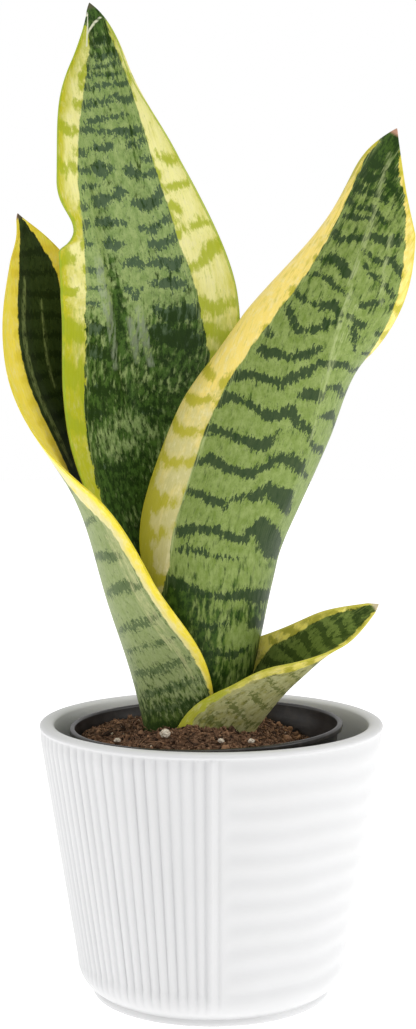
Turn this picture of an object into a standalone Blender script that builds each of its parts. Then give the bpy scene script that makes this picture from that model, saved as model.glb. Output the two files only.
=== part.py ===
"""Potted snake plant: four variegated leaves in a thin nursery pot, standing in a ribbed ceramic planter.

Metres, +Z up. The origin is the centre of the planter's underside and -Y is the front, where the planter's
upright flutes (left half) meet its level ridges (right half). Every solid keeps a gap of GAP to its neighbours.
"""

import math

import bmesh
import bpy
import numpy as np
from mathutils import Vector

MM = 0.001
GAP = 0.3 * MM

# Planter: glazed ceramic cup, 113 mm across the rim and 90 mm tall.
PLANTER_RIM_R = 56.5 * MM
PLANTER_RIM_Z = 90.0 * MM
PLANTER_BAND_Z = 84.5 * MM
PLANTER_HEEL_R = 44.4 * MM
PLANTER_HEEL_Z = 12.0 * MM
PLANTER_CORNER_R = 7.0 * MM
PLANTER_FOOT_R = 39.4 * MM
PLANTER_NOTCH_Z = 2.4 * MM
PLANTER_FLOOR_Z = 6.0 * MM
PLANTER_FLOOR_ROUND = 0.8 * MM
PLANTER_FLOOR_R = PLANTER_FOOT_R - 8.0 * MM
PLANTER_WALL = 5.0 * MM
# The rim's section from the outer wall over to the inner, as (inset from the rim radius, drop below the top).
PLANTER_RIM_SECTION = ((0.0, 2.5), (0.7, 0.7), (2.2, 0.0), (3.8, 0.2), (5.0, 1.6))
PLANTER_FOOT_CHAMFER = 0.7 * MM
FLUTES = 46
FLUTE_DEPTH = 0.6 * MM
RIDGE_PITCH = 7.5 * MM
RIDGE_DEPTH = 0.5 * MM
RIDGE_COLUMNS = 20
BEAD_HEIGHT = 0.3 * MM

# Nursery pot: thin black plastic, 90 mm across the rim, standing left of the planter's centre.
POT_RIM_R = 45.0 * MM
POT_RIM_Z = 88.9 * MM
POT_FOOT_R = 31.0 * MM
POT_FOOT_Z = PLANTER_FLOOR_Z + GAP
POT_WALL = 1.0 * MM
POT_LIP_HEIGHT = 2.2 * MM
POT_LIP_WIDTH = 1.8 * MM
POT_LIP_ROUND = 0.6 * MM
POT_OFFSET_X = -1.85 * MM
POT_RIM_SLOPE = math.radians(1.2)
POT_SEGMENTS = 48
DRAIN_HOLES = 6
DRAIN_R = 4.0 * MM
DRAIN_CIRCLE_R = 20.0 * MM

# Potting soil: mounded round the leaves, sunk below the rim on the right.
SOIL_TOP_Z = 86.6 * MM
SOIL_EDGE_DROP = 1.6 * MM
SOIL_SINK = 6.0 * MM
SOIL_SINK_FROM_X = 10.0 * MM
SOIL_SINK_TO_X = 36.0 * MM
SOIL_MOUND = 5.0 * MM
SOIL_MOUND_CENTRE = Vector((-5.0, -20.0)) * MM
SOIL_MOUND_REACH = 18.0 * MM
SOIL_RINGS = 6

# Rhizome: the buried crown that all four leaves grow from.
RHIZOME_CENTRE = Vector((-3.0, -2.5, 67.0)) * MM
RHIZOME_RADII = Vector((22.0, 17.0, 10.5)) * MM
RHIZOME_LUMPS = 0.05

# Leaves, as stations up the midrib in millimetres and degrees: x, y, z, half width measured round the blade,
# compass direction that the hollow side faces (0 is +X, -90 the front), and half the angle that the blade curls.
# Thickness at the midrib is given at 0, 30, 80 and 100 % of the length.
LEAVES = {
    "leaf_tall": {
        "thickness": (4.0, 2.8, 2.0, 0.9),
        "stations": (
            (-9.0, 1.0, 72.0, 8.0, -18, 67),
            (-13.0, 3.0, 97.0, 15.5, -33, 59),
            (-17.5, 6.0, 130.0, 23.0, -48, 52),
            (-23.0, 12.5, 168.0, 30.0, -62, 46),
            (-25.5, 17.0, 197.0, 33.5, -68, 50),
            (-21.5, 17.0, 231.0, 34.0, -86, 57),
            (-29.0, 13.0, 269.5, 28.0, -95, 79),
            (-34.5, 12.0, 301.5, 17.5, -106, 91),
            (-39.5, 6.5, 323.5, 1.5, -68, 95),
        ),
    },
    "leaf_left": {
        "thickness": (4.0, 2.6, 2.0, 0.9),
        "stations": (
            (-16.0, -7.0, 71.0, 21.5, 23, 120),
            (-23.0, -6.5, 101.0, 29.0, 15, 99),
            (-32.5, -4.5, 130.0, 31.0, -5, 74),
            (-41.5, 3.5, 163.5, 28.0, -21, 50),
            (-56.5, 8.0, 204.0, 23.5, -43, 41),
            (-60.0, 14.5, 238.5, 14.0, -48, 52),
            (-64.0, 13.5, 256.5, 1.5, -37, 74),
        ),
    },
    "leaf_right": {
        "thickness": (4.0, 3.0, 2.0, 0.9),
        "stations": (
            (-1.0, -4.5, 71.0, 8.5, 142, 48),
            (5.0, -9.5, 103.0, 18.0, 129, 55),
            (8.0, -12.5, 135.0, 29.5, 123, 66),
            (10.0, -13.5, 152.5, 37.5, 117, 83),
            (20.5, -19.0, 186.5, 40.5, 105, 95),
            (27.5, -21.5, 218.5, 36.0, 78, 99),
            (45.5, -17.0, 255.5, 22.0, 41, 64),
            (57.5, -22.0, 279.5, 2.0, 52, 22),
        ),
    },
    "leaf_small": {
        "thickness": (3.6, 2.6, 2.0, 0.8),
        "stations": (
            (5.0, -16.0, 74.0, 22.0, 120, 61),
            (8.0, -13.0, 84.5, 21.5, 148, 71),
            (18.0, -13.0, 96.0, 19.5, 168, 75),
            (28.0, -13.0, 107.0, 18.0, 184, 70),
            (38.5, -13.5, 119.0, 10.5, 202, 42),
            (53.5, -14.5, 130.0, 1.0, 219, 28),
        ),
    },
}
THICKNESS_AT = (0.0, 0.3, 0.8, 1.0)
LEAF_EDGE_THINNING = 0.7  # how much of the thickness is lost from midrib to margin
LEAF_STEPS_PER_STATION = 3
LEAF_COLUMNS = 8

# Perlite grains lying on the soil: x, y and the grain's half sizes, in millimetres.
PERLITE_GRAINS = (
    (-14.5, -28.0, 1.9, 1.6, 1.4),
    (3.0, -33.0, 1.1, 0.9, 0.8),
    (12.5, -29.0, 1.2, 1.0, 0.8),
    (16.0, -35.0, 1.0, 1.2, 0.8),
    (-30.0, -20.0, 1.1, 0.9, 0.8),
    (26.0, -22.0, 1.0, 1.0, 0.7),
)

MATERIALS = {
    "white_glaze": ((0.86, 0.86, 0.85, 1.0), 0.35),
    "black_plastic": ((0.03, 0.026, 0.024, 1.0), 0.4),
    "potting_soil": ((0.10, 0.05, 0.03, 1.0), 0.95),
    "rhizome_flesh": ((0.62, 0.42, 0.20, 1.0), 0.7),
    "green_leaf": ((0.20, 0.30, 0.11, 1.0), 0.45),
    "white_perlite": ((0.80, 0.77, 0.70, 1.0), 0.9),
}


def clear_scene():
    for obj in list(bpy.data.objects):
        bpy.data.objects.remove(obj, do_unlink=True)


def make_material(name):
    color, roughness = MATERIALS[name]
    material = bpy.data.materials.new(name)
    material.use_nodes = True
    material.diffuse_color = color
    shader = material.node_tree.nodes["Principled BSDF"]
    shader.inputs["Base Color"].default_value = color
    shader.inputs["Roughness"].default_value = roughness
    shader.inputs["Metallic"].default_value = 0.0
    return material


def add_object(name, mesh, material=None, smooth_angle=35):
    obj = bpy.data.objects.new(name, mesh)
    bpy.context.scene.collection.objects.link(obj)
    if material:
        mesh.materials.append(material)
    mesh.shade_smooth()
    mesh.set_sharp_from_angle(angle=math.radians(smooth_angle))
    return obj


def mesh_from_rings(name, rings, first_point=None, last_point=None):
    """A closed skin over rings of equal length, each end closed with a fan to a point, or with a flat face."""
    bm = bmesh.new()
    loops = [[bm.verts.new(point) for point in ring] for ring in rings]
    count = len(loops[0])
    for lower, upper in zip(loops, loops[1:]):
        for i in range(count):
            j = (i + 1) % count
            bm.faces.new((lower[i], lower[j], upper[j], upper[i]))
    for loop, point in ((loops[0][::-1], first_point), (loops[-1], last_point)):
        if point is None:
            bm.faces.new(loop)
            continue
        tip = bm.verts.new(point)
        for i in range(count):
            bm.faces.new((loop[i], loop[(i + 1) % count], tip))
    bmesh.ops.recalc_face_normals(bm, faces=bm.faces)
    mesh = bpy.data.meshes.new(name)
    bm.to_mesh(mesh)
    bm.free()
    return mesh


def cut(obj, cutter):
    """Takes the cutter out of the object with a live Boolean and hides the cutter."""
    cutter.hide_render = True
    cutter.display_type = "WIRE"
    modifier = obj.modifiers.new("cut_" + cutter.name, "BOOLEAN")
    modifier.operation = "DIFFERENCE"
    modifier.solver = "EXACT"
    modifier.object = cutter


def smoothstep(low, high, value):
    t = min(max((value - low) / (high - low), 0.0), 1.0)
    return t * t * (3 - 2 * t)


# ---- Planter


def planter_outer_radius(z):
    """The smooth outer wall: a straight taper from the heel up to the plain band under the rim."""
    share = (z - PLANTER_HEEL_Z) / (PLANTER_BAND_Z - PLANTER_HEEL_Z)
    return PLANTER_HEEL_R + share * (PLANTER_RIM_R - 0.3 * MM - PLANTER_HEEL_R)


def planter_columns():
    """(angle, flute dip, ridge share, seam share) of each column of points, counter-clockwise from the front."""
    columns = []
    for k in range(RIDGE_COLUMNS):
        seam = 1.0 if k == 0 else 0.0
        columns.append((-math.pi / 2 + math.pi * k / RIDGE_COLUMNS, 0.0, 1.0 - seam, seam))
    for k in range(2 * FLUTES):
        seam = 1.0 if k == 0 else 0.0
        columns.append((math.pi / 2 + math.pi * k / (2 * FLUTES), float(k % 2), 0.0, seam))
    return columns


def planter_profile():
    """(radius, height, relief share, ridge dip) of each ring, from the foot up, over the rim and down inside."""
    foot, inset = PLANTER_FOOT_R, PLANTER_FOOT_R - PLANTER_FOOT_CHAMFER
    rows = [(inset, 0.0, 0, 0), (foot, PLANTER_FOOT_CHAMFER, 0, 0), (inset, PLANTER_NOTCH_Z, 0, 0)]
    for step in range(1, 4):
        angle = math.radians(-90 + 30 * step)
        radius = PLANTER_HEEL_R - PLANTER_CORNER_R * (1 - math.cos(angle))
        z = PLANTER_HEEL_Z + (PLANTER_HEEL_Z - PLANTER_NOTCH_Z) * math.sin(angle)
        rows.append((radius, z, step / 3, 0))
    rings = round((PLANTER_BAND_Z - PLANTER_HEEL_Z) / (RIDGE_PITCH / 2))
    for step in range(1, rings):
        z = PLANTER_HEEL_Z + step * (PLANTER_BAND_Z - PLANTER_HEEL_Z) / rings
        rows.append((planter_outer_radius(z), z, 1, step % 2))
    rows.append((planter_outer_radius(PLANTER_BAND_Z), PLANTER_BAND_Z, 0, 0))
    for inset, drop in PLANTER_RIM_SECTION:
        rows.append((PLANTER_RIM_R - inset * MM, PLANTER_RIM_Z - drop * MM, 0, 0))
    inner_heel = PLANTER_HEEL_R - PLANTER_WALL
    rows.append((inner_heel, PLANTER_HEEL_Z + 2 * PLANTER_FLOOR_ROUND, 0, 0))
    rows.append(((inner_heel + PLANTER_FLOOR_R) / 2, PLANTER_FLOOR_Z + PLANTER_FLOOR_ROUND, 0, 0))
    rows.append((PLANTER_FLOOR_R, PLANTER_FLOOR_Z, 0, 0))
    return rows


def build_planter(material):
    rings = []
    for radius, z, relief, ridge_dip in planter_profile():
        ring = []
        for angle, flute_dip, ridge_share, seam in planter_columns():
            dip = flute_dip * FLUTE_DEPTH + ridge_share * ridge_dip * RIDGE_DEPTH - seam * BEAD_HEIGHT
            r = radius - relief * dip
            ring.append((r * math.cos(angle), r * math.sin(angle), z))
        rings.append(ring)
    mesh = mesh_from_rings("planter", rings, (0, 0, 0), (0, 0, PLANTER_FLOOR_Z))
    return add_object("planter", mesh, material)


# ---- Nursery pot


def pot_outer_radius(z):
    share = (z - POT_FOOT_Z) / (POT_RIM_Z - POT_FOOT_Z)
    return POT_FOOT_R + share * (POT_RIM_R - 0.6 * POT_LIP_WIDTH - POT_FOOT_R)


def pot_point(radius, angle, z):
    """A point of the nursery pot. Its soft rim lies a little lower on the left, and its foot is level."""
    x = radius * math.cos(angle)
    rise = x * math.tan(POT_RIM_SLOPE) * max(z - POT_FOOT_Z, 0) / (POT_RIM_Z - POT_FOOT_Z)
    return (POT_OFFSET_X + x, radius * math.sin(angle), z + rise)


def pot_ring(radius, z, segments=POT_SEGMENTS):
    return [pot_point(radius, 2 * math.pi * i / segments, z) for i in range(segments)]


def build_nursery_pot(material):
    z0, z1, soft = POT_FOOT_Z, POT_RIM_Z, POT_LIP_ROUND
    under_lip, floor = z1 - POT_LIP_HEIGHT, z0 + POT_WALL
    lip_inner_r = POT_RIM_R - POT_LIP_WIDTH
    profile = (
        (POT_FOOT_R - soft, z0),
        (POT_FOOT_R, z0 + soft),
        (pot_outer_radius(under_lip - soft / 2), under_lip - soft / 2),
        (POT_RIM_R - soft / 2, under_lip),
        (POT_RIM_R, under_lip + soft),
        (POT_RIM_R, z1 - soft),
        (POT_RIM_R - soft, z1),
        (lip_inner_r + soft, z1),
        (lip_inner_r, z1 - soft),
        (pot_outer_radius(floor) - POT_WALL, floor),
    )
    rings = [pot_ring(radius, z) for radius, z in profile]
    centre = Vector((POT_OFFSET_X, 0, 0))
    mesh = mesh_from_rings("nursery_pot", rings, centre + Vector((0, 0, z0)), centre + Vector((0, 0, floor)))
    pot = add_object("nursery_pot", mesh, material)
    holes = bmesh.new()
    for k in range(DRAIN_HOLES):
        angle = 2 * math.pi * (k + 0.5) / DRAIN_HOLES
        drill = bmesh.ops.create_cone(
            holes, cap_ends=True, segments=12, radius1=DRAIN_R, radius2=DRAIN_R, depth=6 * POT_WALL
        )
        place = centre + Vector((math.cos(angle), math.sin(angle), 0)) * DRAIN_CIRCLE_R
        place.z = z0 + POT_WALL / 2
        bmesh.ops.translate(holes, verts=drill["verts"], vec=place)
    drills = bpy.data.meshes.new("drain_drills")
    holes.to_mesh(drills)
    holes.free()
    cut(pot, add_object("drain_drills", drills))
    return pot


# ---- Leaves


def station_at(stations, t):
    """The stations' values and their slope at share t of the length, on a smooth curve through all of them."""
    rows = np.array(stations, float)
    rows = np.vstack([2 * rows[0] - rows[1], rows, 2 * rows[-1] - rows[-2]])
    place = min(t * (len(stations) - 1), len(stations) - 1 - 1e-9)
    i = int(place)
    f = place - i
    a, b, c, d = rows[i : i + 4]
    value = b + 0.5 * f * ((c - a) + f * ((2 * a - 5 * b + 4 * c - d) + f * (3 * b - 3 * c + d - a)))
    slope = 0.5 * (c - a) + f * (2 * a - 5 * b + 4 * c - d) + 1.5 * f * f * (3 * b - 3 * c + d - a)
    return value, slope


def leaf_point(stations, t, u):
    """A point on the blade's middle surface, and the direction there towards the hollow side.

    u runs from -1 to 1 across the blade, which is an arc of a circle in the plane square to the midrib.
    """
    value, slope = station_at(stations, t)
    along = Vector(slope[:3]).normalized()
    facing = Vector((math.cos(math.radians(value[4])), math.sin(math.radians(value[4])), 0))
    inward = (facing - facing.dot(along) * along).normalized()
    across = along.cross(inward)
    curl = math.radians(value[5])
    radius = value[3] / curl
    turn = curl * u
    point = Vector(value[:3]) + inward * radius * (1 - math.cos(turn)) + across * radius * math.sin(turn)
    return point, inward * math.cos(turn) - across * math.sin(turn)


def leaf_thickness(leaf, t, u):
    middle = np.interp(t, THICKNESS_AT, leaf["thickness"])
    half_width = station_at(leaf["stations"], t)[0][3]
    return min(middle * (1 - LEAF_EDGE_THINNING * u * u), 0.6 * half_width)


def leaf_mesh(name, leaf):
    stations = leaf["stations"]
    steps = LEAF_STEPS_PER_STATION * (len(stations) - 1)
    rings = []
    for i in range(steps + 1):
        t = i / steps
        hollow, back = [], []
        for j in range(LEAF_COLUMNS + 1):
            u = 2 * j / LEAF_COLUMNS - 1
            point, inward = leaf_point(stations, t, u)
            half = inward * leaf_thickness(leaf, t, u) / 2
            hollow.append((point + half) * MM)
            back.append((point - half) * MM)
        rings.append(hollow + back[::-1])
    return mesh_from_rings(name, rings)


def swollen_copy(mesh, name, amount):
    """The same skin moved outwards by the amount, to cut a seat with a gap all round."""
    bm = bmesh.new()
    bm.from_mesh(mesh)
    bmesh.ops.triangulate(bm, faces=bm.faces)
    bm.normal_update()
    moves = [vert.normal * amount * min(vert.calc_shell_factor(), 2.5) for vert in bm.verts]
    for vert, move in zip(bm.verts, moves):
        vert.co += move
    swollen = bpy.data.meshes.new(name)
    bm.to_mesh(swollen)
    bm.free()
    return swollen


# ---- Soil and rhizome


def rhizome_mesh(name, swell=0.0):
    """A lumpy flattened crown. swell grows it all round, for the hollow that it fills in the soil."""
    bm = bmesh.new()
    bmesh.ops.create_icosphere(bm, subdivisions=3, radius=1.0)
    for vert in bm.verts:
        way = vert.co.copy()
        lump = 1 + RHIZOME_LUMPS * math.sin(7 * way.x + 1) * math.cos(6 * way.y) * math.cos(5 * way.z)
        vert.co = Vector(way[i] * (RHIZOME_RADII[i] * lump + swell) for i in range(3)) + RHIZOME_CENTRE
    mesh = bpy.data.meshes.new(name)
    bm.to_mesh(mesh)
    bm.free()
    return mesh


def soil_height(x, y):
    """Height of the soil's surface: domed in the middle, heaped in front of the leaves, sunk on the right."""
    reach = min(math.hypot(x - POT_OFFSET_X, y) / (POT_RIM_R - POT_LIP_WIDTH), 1.0)
    sink = SOIL_SINK * smoothstep(SOIL_SINK_FROM_X, SOIL_SINK_TO_X, x)
    from_mound = (Vector((x, y)) - SOIL_MOUND_CENTRE).length / SOIL_MOUND_REACH
    mound = SOIL_MOUND * math.exp(-(from_mound**2))
    tilt = math.tan(POT_RIM_SLOPE) * min(x, 0)
    return SOIL_TOP_Z - SOIL_EDGE_DROP * reach**3 - sink + mound + tilt


def build_soil(material):
    """Fills the nursery pot's inside from its floor, and stays clear of the wall."""
    floor = POT_FOOT_Z + POT_WALL + GAP
    clear = POT_WALL + GAP + 0.15 * MM
    low_ring = pot_ring(pot_outer_radius(floor) - clear, floor)
    rings = [low_ring]
    edge_z = SOIL_TOP_Z - SOIL_EDGE_DROP - SOIL_SINK
    for step in range(SOIL_RINGS):
        radius = (pot_outer_radius(edge_z) - clear - 0.5 * MM) * (1 - step / SOIL_RINGS)
        ring = [Vector(point) for point in pot_ring(radius, edge_z)]
        for point in ring:
            point.z = soil_height(point.x, point.y)
        rings.append(ring)
    centre = Vector((POT_OFFSET_X, 0, 0))
    top = centre + Vector((0, 0, soil_height(centre.x, 0)))
    mesh = mesh_from_rings("soil", rings, centre + Vector((0, 0, floor)), top)
    return add_object("soil", mesh, material)


def build_perlite(index, grain, material):
    """One irregular grain resting on the soil."""
    x, y = grain[0] * MM, grain[1] * MM
    radii = Vector(grain[2:]) * MM
    bm = bmesh.new()
    bmesh.ops.create_icosphere(bm, subdivisions=2, radius=1.0)
    for vert in bm.verts:
        way = vert.co.copy()
        lump = 1 + 0.12 * math.sin(5 * way.x + index) * math.cos(4 * way.y - index)
        vert.co = Vector(way[i] * radii[i] * lump for i in range(3))
    mesh = bpy.data.meshes.new(f"perlite_grain_{index}")
    bm.to_mesh(mesh)
    bm.free()
    obj = add_object(mesh.name, mesh, material)
    spots = [(x, y), (x + radii.x, y), (x - radii.x, y), (x, y + radii.y), (x, y - radii.y)]
    ground = max(soil_height(*spot) for spot in spots)
    obj.location = (x, y, ground + radii.z * 1.12 + GAP)
    obj.rotation_euler = (0, 0, 1.3 * index)
    return obj


def build_plant_and_soil(materials):
    soil = build_soil(materials["potting_soil"])
    rhizome = add_object("rhizome", rhizome_mesh("rhizome"), materials["rhizome_flesh"])
    cut(soil, add_object("rhizome_hollow", rhizome_mesh("rhizome_hollow", 1.3 * GAP)))
    for name, leaf in LEAVES.items():
        mesh = leaf_mesh(name, leaf)
        seat = add_object(name + "_seat", swollen_copy(mesh, name + "_seat", 1.7 * GAP))
        cut(rhizome, seat)
        cut(soil, seat)
        add_object(name, mesh, materials["green_leaf"])


def main():
    clear_scene()
    materials = {name: make_material(name) for name in MATERIALS}
    build_planter(materials["white_glaze"])
    build_nursery_pot(materials["black_plastic"])
    build_plant_and_soil(materials)
    for index, grain in enumerate(PERLITE_GRAINS, start=1):
        build_perlite(index, grain, materials["white_perlite"])


main()
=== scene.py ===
import math

import bpy
import numpy as np
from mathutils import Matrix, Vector, noise


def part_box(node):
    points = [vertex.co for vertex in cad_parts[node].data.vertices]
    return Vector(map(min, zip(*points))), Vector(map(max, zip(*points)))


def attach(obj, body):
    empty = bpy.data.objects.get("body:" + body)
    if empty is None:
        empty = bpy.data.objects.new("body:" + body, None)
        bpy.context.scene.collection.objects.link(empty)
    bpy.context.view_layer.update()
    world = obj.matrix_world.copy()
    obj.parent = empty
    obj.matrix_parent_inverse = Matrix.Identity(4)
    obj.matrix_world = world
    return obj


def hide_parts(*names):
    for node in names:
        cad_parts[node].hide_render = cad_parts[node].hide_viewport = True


# Potted snake plant. Lengths are in millimetres and angles in degrees until a mesh is made.

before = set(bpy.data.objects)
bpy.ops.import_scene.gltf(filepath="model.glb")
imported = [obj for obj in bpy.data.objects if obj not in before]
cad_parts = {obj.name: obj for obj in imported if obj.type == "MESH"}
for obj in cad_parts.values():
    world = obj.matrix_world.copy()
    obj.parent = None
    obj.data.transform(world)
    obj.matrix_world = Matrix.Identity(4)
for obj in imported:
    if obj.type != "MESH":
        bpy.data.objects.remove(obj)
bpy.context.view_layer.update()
mm = 0.001
chance = np.random.default_rng(7)
print("frame loaded:", len(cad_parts), "nodes")


def tone(red, green, blue):  # a colour as the eye sees it, 0 to 255, made linear
    shares = [value / 255 for value in (red, green, blue)]
    return tuple(s / 12.92 if s <= 0.04045 else ((s + 0.055) / 1.055) ** 2.4 for s in shares) + (1.0,)


def smooth(low, high, value):
    t = np.clip((np.asarray(value, float) - low) / (high - low), 0, 1)
    return t * t * (3 - 2 * t)


# Shader nodes, written short. The bench holds the node tree that is being built.

bench = {}


def node(kind, inputs=None, **settings):
    made = bench["tree"].nodes.new("ShaderNode" + kind)
    for key, value in settings.items():
        setattr(made, key, value)
    for key, value in (inputs or {}).items():
        if isinstance(value, bpy.types.NodeSocket):
            bench["tree"].links.new(value, made.inputs[key])
        else:
            made.inputs[key].default_value = value
    return made


def calc(operation, first, second=0.0, third=0.0):
    return node("Math", {0: first, 1: second, 2: third}, operation=operation).outputs[0]


def part(share, amount):
    return calc("MULTIPLY", share, amount)


def ragged(noiseValue, reach, value):  # the value, pushed up and down by a noise
    return calc("MULTIPLY_ADD", calc("SUBTRACT", noiseValue, 0.5), reach, value)


def mixTone(share, low, high):
    return node("Mix", {0: share, 6: low, 7: high}, data_type="RGBA").outputs[2]


def mixValue(share, low, high):
    return node("Mix", {0: share, 2: low, 3: high}, data_type="FLOAT").outputs[0]


def step(value, low, high):
    settings = {"Value": value, "From Min": low, "From Max": high}
    return node("MapRange", settings, interpolation_type="SMOOTHSTEP").outputs[0]


def painted(name):  # a value stored on the mesh
    return node("Attribute", attribute_name=name).outputs["Fac"]


def spot():  # the place on the piece, in metres
    return node("TexCoord").outputs["Object"]


def stretched(place, x, y, z=1.0, shift=0.0):
    settings = {0: place, 1: (x, y, z), 2: (shift, shift, shift)}
    return node("VectorMath", settings, operation="MULTIPLY_ADD").outputs[0]


def cloud(place, scale=1.0, detail=3.0, rough=0.55):
    settings = {"Vector": place, "Scale": scale, "Detail": detail, "Roughness": rough}
    return node("TexNoise", settings).outputs[0]


def cells(place, scale):
    return node("TexVoronoi", {"Vector": place, "Scale": scale}, feature="F1").outputs


def newMaterial(name, specular, sockets=()):
    material = bpy.data.materials.new(name)
    material.use_nodes = True
    bench["tree"] = material.node_tree
    for key, value in (("Specular IOR Level", specular), *sockets):
        bench["tree"].nodes["Principled BSDF"].inputs[key].default_value = value
    return material


def link(value, kind, key):
    bench["tree"].links.new(value, bench["tree"].nodes[kind].inputs[key])


def finishMaterial(material, colour, roughness, height, bumpStrength, bumpDepth):
    bump = node("Bump", {"Height": height, "Strength": bumpStrength, "Distance": bumpDepth * mm})
    for key, value in (("Base Color", colour), ("Roughness", roughness), ("Normal", bump.outputs[0])):
        link(value, "Principled BSDF", key)
    return material


# Meshes

def newMesh(name, points, faces):
    mesh = bpy.data.meshes.new(name)
    mesh.from_pydata((np.array(points) * mm).tolist(), [], faces)
    return mesh


def skin(name, rings, firstPoint, lastPoint):  # a closed skin over rings of points
    rings = np.asarray(rings, float)
    rows, count = rings.shape[:2]
    index = np.arange(rows * count).reshape(rows, count)
    turned = np.roll(index, -1, axis=1)
    faces = np.stack([index[:-1], turned[:-1], turned[1:], index[1:]], axis=-1).reshape(-1, 4).tolist()
    points = rings.reshape(-1, 3).tolist()
    for point, loop in ((firstPoint, index[0][::-1]), (lastPoint, index[-1])):
        points.append(list(point))
        faces += [[int(a), int(b), len(points) - 1] for a, b in zip(loop, np.roll(loop, -1))]
    return newMesh(name, points, faces)


def store(mesh, name, values):
    values = np.asarray(values, np.float32).ravel()
    values = np.concatenate([values, np.full(len(mesh.vertices) - len(values), values[-1], np.float32)])
    mesh.attributes.new(name, "FLOAT", "POINT").data.foreach_set("value", values)


def putInScene(name, data):
    made = bpy.data.objects.new(name, data)
    bpy.context.scene.collection.objects.link(made)
    return made


def addPiece(name, mesh, materials, nodes=(), sharpOver=None):
    piece = putInScene(name, mesh)
    for material in materials:
        mesh.materials.append(material)
    mesh.shade_smooth()
    if sharpOver:
        mesh.set_sharp_from_angle(angle=math.radians(sharpOver))
    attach(piece, "root")
    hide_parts(*nodes)
    return piece


# Leaves. A place on a blade is (across, along): millimetres across from the midrib, and up it from the base.
# stations go up the midrib: x, y, z, half width round the blade, the way the hollow faces and half the curl.
# greenFrom and greenTo are where the green middle meets the yellow margins, as (along, across).
# bands, streaks and scars are lines drawn on the blade, each a run of across, along, half width; the streaks
# are painted gloss highlights.
# folds are (width, rise, route), and patches of deep green and painted shade (across, along, width, height,
# amount).
# A table whose name ends in Back is for the back alone.

# the streak tone is the colour of the painted gloss highlights
leafTones = (
    "pale", "mid", "band", "deep", "deepBand", "yellow", "ripe", "stain", "rim", "lining", "glossStreak", "dry",
)


# in each side's tones, deep and deepBand are the deep green and also the colour of painted shade
def sideTones(*colours):  # one side's tones, in the order of leafTones
    return {name: tone(*colour) for name, colour in zip(leafTones, colours)}


def mirrored(lines):
    return tuple(np.reshape(line, (-1, 3)) * (-1, 1, 1) for line in lines)


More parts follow.
